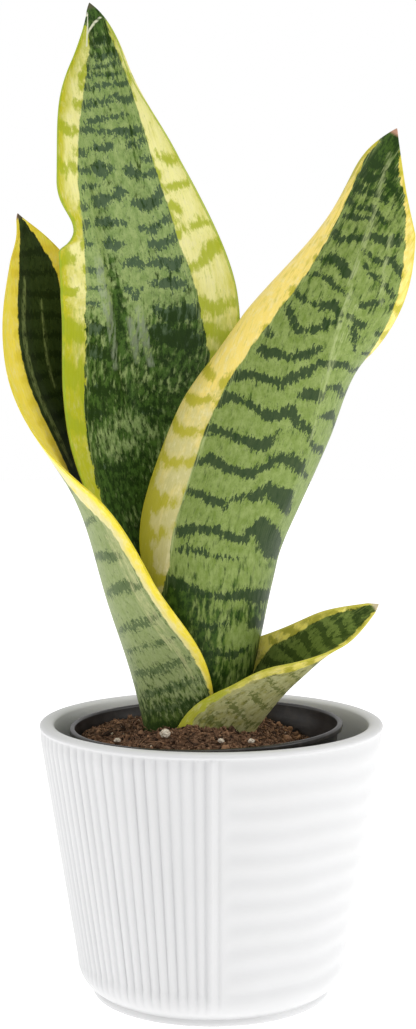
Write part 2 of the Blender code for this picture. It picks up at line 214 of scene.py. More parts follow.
tallLeaf = {
    "thickness": (4, 2.8, 2, 0.9),
    "stations": (
        (-9, 1, 72, 8, -18, 67),
        (-13, 3, 97, 15.5, -33, 59),
        (-17.5, 6, 130, 23, -48, 52),
        (-23, 12.5, 168, 30, -62, 46),
        (-25.5, 17, 197, 33.5, -68, 50),
        (-21.5, 17, 231, 34, -86, 57),
        (-29, 13, 269.5, 28, -95, 79),
        (-34.5, 12, 301.5, 17.5, -106, 91),
        (-39.5, 6.5, 323.5, 1.5, -68, 95),
    ),
    "bite": (187.5, 8.7, 5, 15),
    "greenFrom": (
        (0, -6), (60, -17.5), (90, -21), (105, -22), (120, -22.3), (130, -21.5), (140, -21.8), (150, -23),
        (160, -22.6), (170, -21.6), (180, -20), (190, -18.4), (200, -17), (210, -14.6), (220, -12),
        (230, -8.6), (240, -5), (246, -3), (250, -3.5), (253, -8), (257, -8),
    ),
    "greenTo": (
        (0, 6), (60, 14), (90, 18), (110, 21), (130, 23.5), (140, 24.5), (145, 23.4), (150, 21),
        (157, 18.6), (165, 16.2), (175, 14), (190, 13.2), (205, 12.2), (220, 11.4), (230, 10.6), (238, 8),
        (246, 5.5), (251, 5), (254, 8), (257, 8),
    ),
    "bands": (
        (-3, 245, 0.6, 0, 244.5, 0.9, 4, 245, 1.2), (-5, 240.5, 0.5, 0, 240, 0.6, 6, 240, 1.1),
        (-6, 237, 0.4, 0, 236.5, 0.6, 8, 237, 0.9),
        (-8, 234, 0.5, -2, 234, 0.4, 4, 233, 0.6, 9, 233.5, 0.7),
        (-9, 231, 0.8, -2, 230.5, 0.5, 3, 230, 0.6, 10, 229.5, 0.7),
        (-11, 225.5, 1.2, -8, 225, 1, -3, 225, 0.9, 0, 225.3, 0.6),
        (2, 225.5, 0.8, 6, 224, 0.9, 11, 224.5, 0.9), (-9, 220, 0.5, -5, 219.5, 0.7, 5, 220, 0.4),
        (-14, 217, 1.1, -9, 217, 0.7, -4, 215.5, 0.6),
        (-4, 215.5, 0.4, 3, 214.5, 1.1, 7, 213.8, 0.9, 11, 213.5, 1.1), (-15, 210, 0.9, -12, 209.5, 0.5),
        (-8, 211, 0.9, -5, 210, 1, -2, 211, 0.5), (4, 210, 1, 8, 209, 0.6, 11, 210, 0.8),
        (-17, 205, 1.2, -13, 204, 0.7, -10, 203.5, 0.6), (-8, 204.5, 2, -6, 203, 1.8, -4, 203.5, 1),
        (8, 204.5, 0.8, 12, 204, 1), (2.5, 202, 1.4, 4, 200, 1.2, 8, 199, 0.9, 12, 199.5, 1.3),
        (-14, 199.5, 0.8, -11, 199, 0.7), (-17, 193.5, 0.9, -15, 193, 0.5),
        (-11, 194.5, 1.7, -8, 194, 1.5, -5, 194.5, 0.6, -2, 195.5, 1.3),
        (2, 191.5, 1, 5, 189.5, 1.5, 9, 190, 1.1, 12, 193, 1.6), (-18, 187.5, 0.9, -16, 188.5, 0.6),
        (-12, 188, 1.5, -10, 187.5, 1.1, -6, 186, 0.7, -3, 185, 0.4), (-20, 182, 0.9, -17, 181, 0.5),
        (-10, 180, 1.6, -8, 178.5, 1.1, -6, 179, 0.6),
        (2, 182, 0.9, 6, 181, 1.2, 9, 183, 0.6, 13, 183.5, 1.4), (4, 177, 1, 7, 176, 1.2, 12, 177, 0.9),
        (-20, 172.5, 0.9, -17, 171.5, 1.1, -14, 172, 0.6), (-6, 172, 0.7, -3, 172.5, 1.2, 0, 170.5, 0.6),
        (2, 170.5, 0.9, 6, 170.5, 1.3, 10, 169, 1.6, 13, 170.5, 1),
        (3, 164.5, 0.8, 8, 164, 1.4, 13, 163, 1), (-21, 165, 0.8, -17, 164, 0.7, -15, 165, 0.4),
        (-7, 163, 0.8, -4, 160, 0.9, -2, 163, 0.5), (-21, 157, 0.9, -17, 156.5, 0.8),
        (3, 156, 0.9, 8, 154, 1.6, 14, 156, 2.2, 18, 156, 1.6), (-20, 146, 2, -16, 147, 1.1),
        (4, 149, 2.2, 10, 148, 2.6, 18, 148, 2), (-19, 138.5, 1.8, -13, 138, 1.2, -9, 138.5, 0.8),
        (-19, 128, 0.6, -12, 127.5, 0.9, -6, 128, 0.3), (-20, 120, 1.4, -12, 120.5, 0.6),
        (2, 122, 0.5, 8, 121, 1.2), (-18, 103, 0.5, -8, 102, 0.9, 0, 103.5, 0.3),
        (-33, 177, 1, -28, 179, 1.8, -25, 178, 0.8), (-34, 166, 1.5, -29, 164, 2.2, -26, 165, 0.8),
        (-34, 146, 2.6, -28, 144, 3.4, -24, 143, 1.2), (-34, 131, 2.2, -28, 130, 2.4, -24, 131, 1.2),
        (-24, 134, 0.8, -23, 129, 0.9, -22, 123, 0.8), (-33, 117, 2, -26, 115, 1.6, -22, 114, 0.8),
        (-26, 207, 0.8, -22, 205, 1.4, -19, 206, 0.5), (-21, 219, 0.9, -17, 217, 1.2),
        (12, 231.5, 0.5, 16, 230, 0.8, 19, 231, 0.5), (14, 205, 0.3, 19, 202, 0.8, 25, 201.5, 0.5),
        (14, 194, 1, 17, 193.5, 0.5, 24, 193.5, 0.8, 28, 194, 0.6), (15, 187.5, 0.9, 17, 186, 0.7),
        (14, 178, 0.9, 17, 179, 0.6, 25, 180, 0.8, 31, 180, 0.8),
        (17, 168, 0.6, 22, 169, 0.9, 26, 172, 1.2, 31, 173, 0.7),
        (19, 158, 0.9, 23, 157, 1.1, 27, 158, 0.9, 32, 158, 0.5),
        (20, 152, 0.7, 26, 151, 1, 33, 151, 0.7), (25, 144, 1.2, 33, 143, 1.5),
    ),
    "glossStreaks": (
        (-15.5, 176, 0.9, -16, 165, 1, -14.5, 155, 1, -11, 143, 1, -8.5, 135, 0.6),
        (-13.5, 160, 0.6, -12, 150, 0.8, -9.5, 140, 0.6), (-3, 156, 0.8, -0.5, 148, 1, 4, 138, 0.7),
        (-6, 152, 0.6, -3, 144, 0.8, -1, 138, 0.5),
    ),
    "scars": (
        (-3, 248.5, 0.1, 0, 250.6, 0.12, 4, 252.3, 0.05),
        (-2.5, 255, 0.05, -3.2, 250, 0.1, -4.6, 244, 0.08),
    ),
    "folds": (
        (1.6, -1.1, ((3, 232), (4.5, 214), (4, 200), (5.5, 186))),
        (2.2, -1.3, ((-9, 206), (-10.5, 188), (-12, 168), (-10, 148), (-5.5, 132), (0, 118))),
        (2.4, 0.5, ((-15, 175), (-15, 160), (-11, 143), (-7, 130))),
        (2.6, 0.5, ((-4, 160), (-1, 148), (5, 134))),
    ),
    # the deep green along the blade and its patches carry painted shade: dark at the base between the other
    # blades and down the channel
    "deepAndShadeAlong": (
        (0, 1), (95, 1), (104, 0.85), (110, 0.6), (116, 0.72), (124, 0.88), (132, 0.62), (140, 0.66),
        (150, 0.5), (158, 0.22), (175, 0.12), (200, 0.1), (225, 0.15), (236, 0.35), (246, 0.7), (257, 1),
    ),
    "deepAndShadePatches": (
        (-6, 86, 6, 7, -0.35), (6, 98, 5, 6, -0.3), (-3, 118, 9, 4, -0.35), (-12, 108, 5, 5, -0.3),
        (-10, 150, 3, 16, 0.7), (-11, 172, 2.2, 16, 0.35), (12, 150, 9, 12, 0.35), (8, 170, 9, 9, 0.12),
        (-6, 203, 3.5, 8, 0.25), (5, 205, 3, 14, 0.3), (-9, 190, 3, 10, 0.2), (7, 190, 6, 8, 0.15),
        (-15, 155, 4, 14, -0.15), (-3, 162, 4, 10, -0.1),
    ),
    "ripeAlong": ((0, 1), (120, 0.85), (150, 0.4), (175, 0.15), (200, 0.12), (257, 0.1)),
    "outerRipe": (0.9, 0.3, 5),
    "hollow": sideTones(
        (168, 187, 122), (124, 150, 84), (70, 92, 70), (74, 106, 40), (34, 58, 10), (252, 246, 172),
        (205, 200, 46), (176, 186, 40), (150, 175, 48), (178, 190, 120), (170, 182, 156), (84, 84, 60)
    ),
    "back": sideTones(
        (146, 164, 106), (120, 142, 80), (66, 86, 52), (70, 96, 44), (38, 60, 20), (236, 224, 142),
        (206, 200, 84), (168, 174, 56), (150, 166, 56), (176, 188, 118), (178, 188, 136), (84, 84, 60)
    ),
    "strokes": (1.1, 0.5, 8.5), "mottle": 0.75, "rimWidth": 0.6, "wave": 0.5,
}

rightLeaf = {
    "thickness": (4, 3, 2, 0.9),
    "stations": (
        (-1, -4.5, 71, 8.5, 142, 48),
        (5, -9.5, 103, 18, 129, 55),
        (8, -12.5, 135, 29.5, 123, 66),
        (10, -13.5, 152.5, 37.5, 117, 83),
        (20.5, -19, 186.5, 40.5, 105, 95),
        (27.5, -21.5, 218.5, 36, 78, 99),
        (45.5, -17, 255.5, 22, 41, 64),
        (57.5, -22, 279.5, 2, 52, 22),
    ),
    "greenFrom": (
        (0, -7), (40, -20), (60, -26), (85, -33), (110, -37), (130, -37), (145, -34), (158, -30),
        (165, -28.2), (172, -26.2), (180, -23.6), (188, -20.6), (196, -17.2), (203, -13), (209, -8.6),
        (214, -4.5), (217, -5), (221, -7),
    ),
    "greenTo": (
        (0, 8), (40, 18), (70, 24), (100, 29), (140, 32), (170, 27), (195, 17), (208, 9), (215, 3),
        (221, 3),
    ),
    "greenToBack": (
        (0, 12), (36, 21), (52, 26), (62, 24.5), (72, 22.4), (90, 21.8), (110, 22), (120, 20.8),
        (130, 18.5), (135, 16.5), (140, 14), (145, 11.8), (150, 9.5), (155, 8), (160, 6.6), (170, 4.8),
        (180, 4.6), (190, 5.2), (200, 6.2), (207, 6.4), (212, 5), (215, 4), (218, 7), (221, 7),
    ),
    "bands": (
        (38, 133, 1.2, 31, 132, 1.6, 25, 130, 0.8),
        (20, 129.5, 1, 17, 132.5, 1.3, 12, 134, 1, 6, 134, 0.9, 1, 133.5, 1.2, -4, 137, 1.2,
         -8, 140, 1),
        (-6, 131, 1.2, -9, 131.5, 1.8, -12.5, 131, 1),
        (-14, 134, 0.4, -19, 134, 1.3, -23, 131.5, 0.8, -28, 131, 0.5),
        (38, 120, 1.3, 32, 119.5, 1.6, 27, 121, 1, 23, 123, 0.6),
        (20.5, 121, 0.8, 17, 126, 1.3, 13, 125.5, 0.9, 8, 124.5, 0.8, 5, 122.5, 1.3, 0, 123, 1.2,
         -3, 125.5, 1.5, -6, 122, 1.2, -10, 120.5, 1, -13, 119, 0.5),
        (-13, 124.5, 0.5, -17, 125, 0.8, -21, 125, 1, -25, 122.5, 0.7),
        (39, 109, 0.9, 33, 107, 1.1, 28, 108, 1, 23, 110, 0.6),
        (22, 110.5, 1, 20.5, 113, 1.3, 15, 113, 1.1, 9, 112.8, 1.1, 4, 112, 1.4, 0, 116, 0.8,
         -1, 119, 0.3),
        (-11, 118, 0.5, -16, 115, 0.9, -22, 114.5, 0.9, -27, 112.5, 0.6, -36, 112, 0.9),
        (39, 99, 0.8, 33, 95.5, 1.2, 28, 97.5, 0.8, 23, 100, 0.4),
        (21.5, 100.5, 0.7, 17, 102.8, 1.4, 10, 102.5, 1.2, 4, 103, 1.1, 0, 106.5, 1, -2.5, 110, 1.2,
         -6, 110.5, 1.5, -11, 109, 1.8, -14, 107, 1, -19, 105, 0.4),
        (37, 86, 1.4, 31, 84.5, 1.7, 25, 87, 0.7, 22, 88, 0.3), (21, 91, 0.8, 16, 91.8, 1, 9.5, 91, 1.1),
        (7.5, 93, 0.6, 4, 95, 1, 0, 96.5, 1.1, -2.5, 99.5, 1.4, -6, 98.5, 2.2, -11, 97, 3,
         -15, 92, 1),
        (36, 79, 0.9, 31, 77.5, 0.9, 25, 79, 0.4),
        (21, 80, 0.8, 16, 81.5, 1.2, 9, 83, 0.9, 5, 82, 1.2, 0, 81.5, 1, -2, 85, 1.4, -5, 86, 2.8,
         -9, 83, 4, -14, 79, 4.2, -18, 76, 2),
        (20, 76, 0.2, 14, 76.5, 0.4, 7, 75, 0.3, 2, 75.5, 0.3),
        (27, 66, 1.2, 22, 66, 1.8, 15, 64.5, 0.7, 6, 62.5, 0.5, -2, 63.5, 1.6, -10, 62, 2, -22, 61, 1),
        (10, 142, 1.3, 5, 142, 1.1, 0, 141.5, 0.9, -5, 144.5, 1, -8, 147, 0.8),
        (-10, 142, 0.6, -14, 142.5, 1.1, -19, 143.5, 1.3, -24, 141, 0.7), (10, 148, 0.8, 7.5, 147, 0.9),
        (6, 157, 0.5, 3, 153.5, 0.8, 0, 150.5, 0.9, -4, 152, 0.8, -8, 156, 0.9, -11, 158, 0.3),
        (-16, 158, 0.9, -19, 154, 0.8, -20.5, 150, 0.4), (6.5, 161.5, 0.9, 2, 160.5, 0.6, -2, 160, 0.4),
        (-4.5, 160.5, 1.3, -8, 162, 1.5, -10, 160, 0.6), (-13, 161.5, 0.6, -16, 160.5, 0.9, -20, 161, 0.8),
        (4, 168, 0.6, 0, 169.5, 0.5, -4, 168, 0.7, -10, 166.5, 0.4),
        (-15, 166, 0.7, -18.5, 168.5, 0.9, -21, 171, 0.5),
        (4.5, 174, 0.5, 0, 175, 1.2, -3, 176, 1, -7, 173, 1.4, -9, 172.5, 0.5),
        (-11.5, 177, 0.4, -18, 175.5, 0.7, -24, 174, 0.8),
        (4, 184, 0.6, -1, 182.3, 1.2, -5, 184, 0.9, -8.5, 185.5, 0.6),
        (-10, 181, 0.7, -14, 180.5, 0.8, -19, 183, 1, -23, 181, 0.6),
        (3, 190, 0.4, -3, 190.5, 0.7, -7, 191.5, 0.5),
        (-10.5, 186.5, 0.9, -14, 187.5, 1, -17.5, 189.5, 1.2),
        (4.5, 195, 0.8, 0, 193.5, 0.9, -5, 195, 0.7, -11, 193, 0.7),
        (5, 199.5, 0.9, -1, 199, 1, -6, 200.5, 0.7, -12, 198, 0.5),
        (6, 204, 1, 0, 203.5, 1.1, -5, 205.5, 0.6, -11, 203.5, 0.4),
        (6, 209, 1, 0, 208.5, 1.2, -7, 209, 0.6), (39, 100, 0.8, 37.5, 88, 1.8, 34, 76, 2.6, 29, 67, 2),
        (18, 55, 1, 10, 53, 0.6, 3, 54, 0.3), (-6, 54, 0.9, -14, 52, 1.8, -22, 53, 1.2),
        (12, 45, 0.6, 2, 43.5, 1, -6, 45, 0.4), (-8, 36, 0.8, -15, 34, 0.9),
        (17, 191, 0.3, 14.5, 199, 2, 11, 207, 2.6, 6.5, 214, 1.8),
    ) + tuple(
        (-25, s, 0.5, -30, s + 1.5, 1.1, -34, s + 1, 0.9, -40, s - 1, 0.7) for s in range(71, 172, 10)
    ),
    "glossStreaks": (
        (-2.5, 213, 0.4, -5, 203, 0.4, -8, 190, 0.4, -9.5, 170, 0.35),
        (-10.5, 168, 0.35, -12.3, 145, 0.5, -12.5, 117, 0.4),
        (-14, 165, 0.3, -14.5, 150, 0.3, -13, 138, 0.3), (-15, 190, 0.3, -17, 180, 0.3, -21, 170, 0.4),
        (21.5, 110, 0.35, 21.8, 90, 0.4, 22, 76, 0.35), (23.5, 84, 0.3, 24, 72, 0.4),
    ),
    "folds": (
        (3, -0.6, ((-3, 214), (-8, 190), (-11, 160), (-12.5, 120), (-12, 90))),
        (2.5, 0.35, ((5, 190), (8, 150), (16, 120), (18, 85))),
    ),
    "deepAndShadeAlong": (
        (0, 1), (22, 0.95), (30, 0.75), (38, 0.5), (46, 0.34), (56, 0.42), (66, 0.35), (74, 0.2),
        (90, 0.1), (140, 0.14), (160, 0.24), (185, 0.3), (198, 0.42), (206, 0.7), (213, 0.95), (221, 1),
    ),
    "deepAndShadePatches": (
        (-22, 75, 8, 8, 0.2), (-9, 84, 6, 6, 0.15), (20, 60, 6, 6, 0.6), (-8, 56, 7, 5, 0.3),
        (3, 190, 5, 20, 0.12), (14, 42, 9, 12, 0.6), (-16, 40, 6, 10, 0.3), (-4, 50, 8, 4, -0.35),
        (0, 34, 3, 6, -0.15),
    ),
    "ripeAlong": ((0, 1), (75, 1), (95, 0.85), (115, 0.6), (130, 0.3), (150, 0.05), (221, 0)),
    "hollow": sideTones(
        (110, 128, 66), (88, 108, 50), (48, 66, 30), (60, 84, 34), (34, 52, 16), (240, 214, 120),
        (200, 192, 110), (176, 170, 50), (150, 150, 40), (150, 164, 96), (150, 164, 110), (176, 130, 98)
    ),
    "back": sideTones(
        (146, 163, 94), (112, 134, 56), (42, 62, 36), (66, 94, 30), (34, 58, 14), (252, 226, 122),
        (210, 203, 142), (182, 176, 40), (206, 194, 54), (160, 176, 112), (186, 198, 138), (190, 146, 122)
    ),
    "outerRipe": (0, 0, 3),
    "strokes": (1.1, 0.34, 8), "mottle": 0.4, "rimWidth": 0.8, "wave": 0.4,
}

leftBands = (
    (-21, 85, 0.6, -12, 86, 0.8, 0, 87, 0.8), (-24, 71.5, 0.7, -19, 72.5, 1.1, -12, 74.5, 0.9, -4, 75, 0.6),
    (-26, 62, 0.9, -22, 63, 1.4, -17, 63.5, 0.9, -9, 63, 0.6),
    (-26, 53, 0.6, -20, 51.5, 1.1, -13, 52, 0.8, -5, 51, 0.6),
    (-26, 44.5, 0.3, -15, 45, 0.4, -6, 44.5, 0.3), (-25, 37.5, 0.6, -15, 36.5, 0.9, -5, 37, 0.7),
    (-24, 30.5, 0.6, -12, 30, 0.9, -4, 29, 0.6), (-22, 24, 0.8, -10, 24.5, 0.9, -3, 24, 0.7),
    (-20, 18, 1.4, -8, 18, 1.6, 0, 18, 1.4),
)

leftLeaf = {
    "thickness": (4, 2.6, 2, 0.9),
    "stations": (
        (-16, -7, 71, 21.5, 23, 120),
        (-23, -6.5, 101, 29, 15, 99),
        (-32.5, -4.5, 130, 31, -5, 74),
        (-41.5, 3.5, 163.5, 28, -21, 50),
        (-56.5, 8, 204, 23.5, -43, 41),
        (-60, 14.5, 238.5, 14, -48, 52),
        (-64, 13.5, 256.5, 1.5, -37, 74),
    ),
    "greenFrom": (
        (0, -15), (60, -25), (92, -19), (100, -10), (108, -7.5), (116, -7), (125, -7.4), (140, -8.6),
        (150, -9.2), (165, -8.4), (180, -5.6), (190, -2), (195, -0.5),
    ),
    "greenTo": ((0, 15), (60, 25), (100, 21), (140, 17), (175, 9), (188, 3), (195, 0.5)),
    "greenFromBack": (
        (0, -17), (20, -26.4), (50, -27.3), (60, -27.6), (70, -26.8), (80, -25.6), (88, -22.4), (94, -19.5),
        (120, -17), (140, -15), (175, -7), (190, -1.5), (195, -0.5),
    ),
    "greenToBack": ((0, 17), (50, 26), (80, 25), (100, 20), (140, 15), (175, 7), (195, 0.5)),
    "bands": tuple(
        (-12, s, 0.6, -2, s + 1, 0.9, 8, s + 1.5, 0.8, 18, s, 0.5) for s in range(96, 190, 7)
    ),
    "bandsBack": leftBands + mirrored(leftBands) + tuple(
        (-20, s, 0.6, -8, s + 1.5, 0.9, 4, s, 0.9, 18, s + 1.5, 0.5) for s in range(98, 190, 9)
    ),
    "glossStreaks": (
        (-4, 172, 0.5, -5.8, 155, 0.8, -5, 135, 0.9, -3.5, 118, 0.8, -3.5, 108, 0.5),
        (3, 165, 0.1, 3.5, 150, 0.2, 4, 135, 0.1),
    ),
    "glossStreaksBack": (
        (-24.5, 84, 0.4, -25.5, 66, 0.5, -25, 48, 0.4, -23.5, 32, 0.4),
        (-23, 78, 0.3, -23.8, 60, 0.4, -23, 42, 0.3),
    ),
    "folds": ((3, -0.5, ((0, 180), (-1, 150), (2, 120))),),
    "deepAndShadeAlong": (
        (0, 1), (16, 1), (22, 0.7), (29, 0.4), (40, 0.22), (60, 0.14), (90, 0.12), (195, 0.3),
    ),
    "deepAndShadePatches": (),
    "ripeAlong": ((0, 0.1), (195, 0.1)),
    # the hollow side's tones are far darker than the back's: partly the leaf's own colour, partly painted
    # shade inside the curl
    "hollow": sideTones(
        (54, 70, 30), (42, 56, 20), (28, 42, 10), (38, 54, 16), (25, 39, 7), (252, 230, 84), (244, 232, 76),
        (240, 216, 60), (222, 196, 70), (60, 78, 40), (150, 164, 100), (96, 84, 64)
    ),
    "back": sideTones(
        (154, 166, 114), (136, 152, 92), (88, 106, 66), (84, 106, 46), (46, 68, 24), (232, 222, 158),
        (252, 230, 66), (236, 218, 90), (206, 192, 44), (178, 186, 132), (206, 206, 150), (190, 150, 130)
    ),
    "outerRipe": (1.3, 0.9, 2.2),
    "strokes": (1.5, 0.7, 9), "mottle": 0.3, "rimWidth": 0.35, "wave": 0.5,
}

smallLeaf = {
    "thickness": (3.6, 2.6, 2, 0.8),
    "stations": (
        (5, -16, 74, 22, 120, 61),
        (8, -13, 84.5, 21.5, 148, 71),
        (18, -13, 96, 19.5, 168, 75),
        (28, -13, 107, 18, 184, 70),
        (38.5, -13.5, 119, 10.5, 202, 42),
        (53.5, -14.5, 130, 1, 219, 28),
    ),
    "greenFrom": ((0, -20), (26, -21.5), (42, -17.8), (50, -12), (58, -8), (68, -3.6), (76, -0.5)),
    "greenTo": ((0, 21.5), (26, 19.8), (42, 17.6), (50, 13.4), (58, 8.6), (68, 3.8), (76, 0.5)),
    "greenFromBack": ((0, -18), (26, -16), (42, -14), (58, -6), (68, -2), (76, -0.5)),
    "greenToBack": ((0, 18.5), (26, 18), (36, 16.2), (45, 12.8), (58, 6.5), (68, 2.6), (76, 0.5)),
    "flare": (33, 15, 6.5),
    "bands": tuple(
        (-18, s - 1, 0.8, -8, s + 1, 1, 4, s, 1.1, 14, s + 2, 0.8) for s in range(8, 74, 6)
    ),
    "bandsBack": tuple(
        (-16, s, 0.4, -6, s + 1.5, 0.5, 5, s, 0.5, 15, s + 1, 0.4) for s in range(6, 72, 7)
    ),
    "glossStreaks": (),
    "folds": (),
    "deepAndShadeAlong": ((0, 0.9), (10, 0.6), (20, 0.3), (60, 0.25), (70, 0.6), (76, 1)),
    "deepAndShadePatches": (),
    "ripeAlong": ((0, 1.5), (16, 1.2), (24, 0.7), (36, 0.1), (76, 0)),
    "hollow": sideTones(
        (122, 140, 66), (100, 120, 50), (62, 80, 30), (84, 104, 42), (48, 66, 20), (250, 236, 110),
        (196, 186, 66), (170, 166, 50), (216, 206, 90), (120, 134, 70), (150, 160, 100), (210, 196, 160)
    ),
    "back": sideTones(
        (192, 192, 142), (166, 164, 100), (116, 124, 68), (156, 154, 80), (98, 104, 48), (248, 232, 120),
        (186, 190, 56), (176, 170, 50), (176, 176, 44), (190, 184, 120), (180, 180, 130), (210, 196, 160)
    ),
    "outerRipe": (0.1, 0.1, 3),
    "strokes": (0.9, 0.6, 8), "mottle": 0.5, "rimWidth": 0.7, "wave": 0.3,
}


def stationAt(stations, shares):  # values and slopes on a smooth curve through the stations
    rows = np.array(stations, float)
    rows = np.vstack([2 * rows[0] - rows[1], rows, 2 * rows[-1] - rows[-2]])
    place = np.minimum(np.asarray(shares) * (len(stations) - 1), len(stations) - 1 - 1e-9)
    i = place.astype(int)
    f = (place - i)[:, None]
    a, b, c, d = rows[i], rows[i + 1], rows[i + 2], rows[i + 3]
    value = b + 0.5 * f * ((c - a) + f * ((2 * a - 5 * b + 4 * c - d) + f * (3 * b - 3 * c + d - a)))
    slope = 0.5 * (c - a) + f * (2 * a - 5 * b + 4 * c - d) + 1.5 * f * f * (3 * b - 3 * c + d - a)
    return value, slope


def insideLines(lines, across, along):  # how far inside the nearest drawn line each place lies
    inside = np.full(across.shape, -20.0)
    for line in lines:
        points = np.reshape(line, (-1, 3)).tolist()
        for (x0, s0, w0), (x1, s1, w1) in zip(points, points[1:]):
            dx, ds = x1 - x0, s1 - s0
            t = np.clip(((across - x0) * dx + (along - s0) * ds) / (dx * dx + ds * ds), 0, 1)
            off = np.hypot(across - x0 - t * dx, along - s0 - t * ds)
            inside = np.maximum(inside, 0.2 + 1.2 * (w0 + t * (w1 - w0)) - off)
    return inside


def foldHeight(folds, across, along):
    height = np.zeros(across.shape)
    for width, rise, route in folds:
        at, up = zip(*sorted(route, key=lambda point: point[1]))
        fade = smooth(up[0] - 12, up[0] + 6, along) * (1 - smooth(up[-1] - 6, up[-1] + 12, along))
        height += rise * fade * np.exp(-(((across - np.interp(along, up, at)) / width) ** 2))
    return height


leafShape = {
    "pitch": 0.85, "columns": 60, "edgeDrops": (0.55, 0.28, 0.1, 0.0), "edgeThinning": 0.7, "ripple": 0.22,
}


def leafMesh(name, leaf):
    shares = np.linspace(0, 1, 2001)
    fine, _ = stationAt(leaf["stations"], shares)
    lengths = np.concatenate([[0], np.cumsum(np.linalg.norm(np.diff(fine[:, :3], axis=0), axis=1))])
    total = lengths[-1]
    rows = int(total / leafShape["pitch"])
    level = np.linspace(0, total, rows)
    value, slope = stationAt(leaf["stations"], np.interp(level, lengths, shares))
    along = slope[:, :3] / np.linalg.norm(slope[:, :3], axis=1, keepdims=True)
    turn = np.radians(value[:, 4])
    facing = np.stack([np.cos(turn), np.sin(turn), 0 * turn], axis=1)
    inward = facing - (facing * along).sum(1, keepdims=True) * along
    inward /= np.linalg.norm(inward, axis=1, keepdims=True)
    side = np.cross(along, inward)
    width = np.minimum(value[:, 3], 0.25 + 0.8 * (total - level))
    radius = value[:, 3] / np.radians(value[:, 5])

    drops = np.array(leafShape["edgeDrops"])
    drops = np.minimum(drops[None, :], 0.3 * width[:, None] * drops / drops[0])
    flat = np.linspace(-1, 1, leafShape["columns"] + 1)[None, :] * (width - drops[:, 0])[:, None]
    across = np.hstack([-(width[:, None] - drops[:, :0:-1]), flat, width[:, None] - drops[:, 1:]])
    extra = 0 * level
    if "bite" in leaf:
        middle, deep, below, above = leaf["bite"]
        upper = 0.5 + 0.5 * np.cos(np.pi * np.clip((level - middle) / above, 0, 1))
        lower = np.sqrt(np.clip(1 - ((middle - level) / below) ** 2, 0, 1))
        extra = -deep * np.where(level > middle, upper, lower)
    elif "flare" in leaf:
        middle, reach, most = leaf["flare"]
        extra = most * np.exp(-(((level - middle) / reach) ** 2))
    across = np.where(across < 0, across * (1 + extra / width)[:, None], across)
    edge = np.where(across < 0, (width + extra)[:, None] + across, width[:, None] - across)
    levels = np.repeat(level[:, None], across.shape[1], axis=1)

    middleThick = np.interp(level / total, (0.0, 0.3, 0.8, 1.0), leaf["thickness"])[:, None]
    share = np.clip(across / value[:, 3][:, None], -1, 1)
    thick = np.minimum(middleThick * (1 - leafShape["edgeThinning"] * share**2), 0.6 * width[:, None])
    rounding = np.clip(edge / np.maximum(0.5 * thick, 1e-6), 0, 1)
    half = 0.5 * thick * np.sqrt(rounding * (2 - rounding))
    angle = across / radius[:, None]
    normal = inward[:, None] * np.cos(angle)[..., None] - side[:, None] * np.sin(angle)[..., None]
    bend = radius[:, None] * (1 - np.cos(angle))
    reach = radius[:, None] * np.sin(angle)
    middle = value[:, None, :3] + inward[:, None] * bend[..., None] + side[:, None] * reach[..., None]
    ripple = leaf["wave"] * np.abs(share) ** 3 * np.sin(levels / 11 + 2 * np.sign(across) + len(name))
    ripple += leafShape["ripple"] * np.sin(levels / 17 + across / 9) * np.sin(across / 5 + levels / 41)
    ripple += foldHeight(leaf["folds"], across, levels)
    middle = middle + normal * (ripple * smooth(0, 12, total - levels))[..., None]

    def bothFaces(onHollow, onBack):
        return np.concatenate([onHollow, onBack[:, -2:0:-1]], axis=1)

    rings = bothFaces(middle + normal * half[..., None], middle - normal * half[..., None])
    mesh = skin(name, rings, value[0, :3], value[-1, :3] + along[-1] * 0.2)

    def alongTable(table):
        return np.interp(levels, *zip(*table))

    def backTable(key):
        return leaf.get(key + "Back", leaf[key])

    for painting, key in (("band", "bands"), ("glossStreak", "glossStreaks"), ("scar", "scars")):
        onHollow = insideLines(leaf.get(key, ()), across, levels)
        onBack = insideLines(backTable(key), across, levels) if key + "Back" in leaf else onHollow
        store(mesh, painting, bothFaces(onHollow, onBack))
    edges = ((leaf["greenFrom"], leaf["greenTo"]), (backTable("greenFrom"), backTable("greenTo")))
    greens = [np.minimum(across - alongTable(low), alongTable(high) - across) for low, high in edges]
    store(mesh, "green", bothFaces(*greens))
    # deep green along the blade with painted shade in it, plus patches of deep green and painted shade
    deepAndShade = alongTable(leaf["deepAndShadeAlong"])
    for x, s, wide, tall, amount in leaf["deepAndShadePatches"]:
        deepAndShade = deepAndShade + amount * np.exp(-(((across - x) / wide) ** 2) - ((levels - s) / tall) ** 2)
    onLeft, onRight, reach = leaf["outerRipe"]
    outer = np.where(across < 0, onLeft, onRight) * np.exp(-((edge / reach) ** 2))
    ripe = alongTable(leaf["ripeAlong"]) + outer
    same = {"across": across, "along": levels, "deepAndShade": deepAndShade, "ripe": ripe, "edge": edge}
    same["fromTip"] = total - levels
    for painting, values in same.items():
        store(mesh, painting, bothFaces(values, values))

    # the hollow side takes the first material and the back the second
    onBack = np.tile((np.arange(rings.shape[1]) >= across.shape[1] - 1).astype(np.int32), rows - 1)
    sides = np.concatenate([onBack, np.ones(len(mesh.polygons) - len(onBack), np.int32)])
    mesh.polygons.foreach_set("material_index", sides)
    return mesh


leafSurface = {
    "scarTone": tone(240, 238, 214), "creamTone": tone(250, 242, 200), "cloudReach": 3.0,
    "rough": (0.36, 0.52), "bump": (0.35, 0.16),
    "noises": {  # scale across and along the blade, shift, detail and roughness
        "mottle": (0.5, 0.26, 43, 6, 0.7), "clouds": (0.2, 0.13, 11, 3, 0.55),
        "grain": (2.4, 0.05, 5, 2, 0.55), "specks": (2.4, 1.2, 17, 3, 0.55), "pores": (3.5, 1.6, 3, 2, 0.55),
    },
}


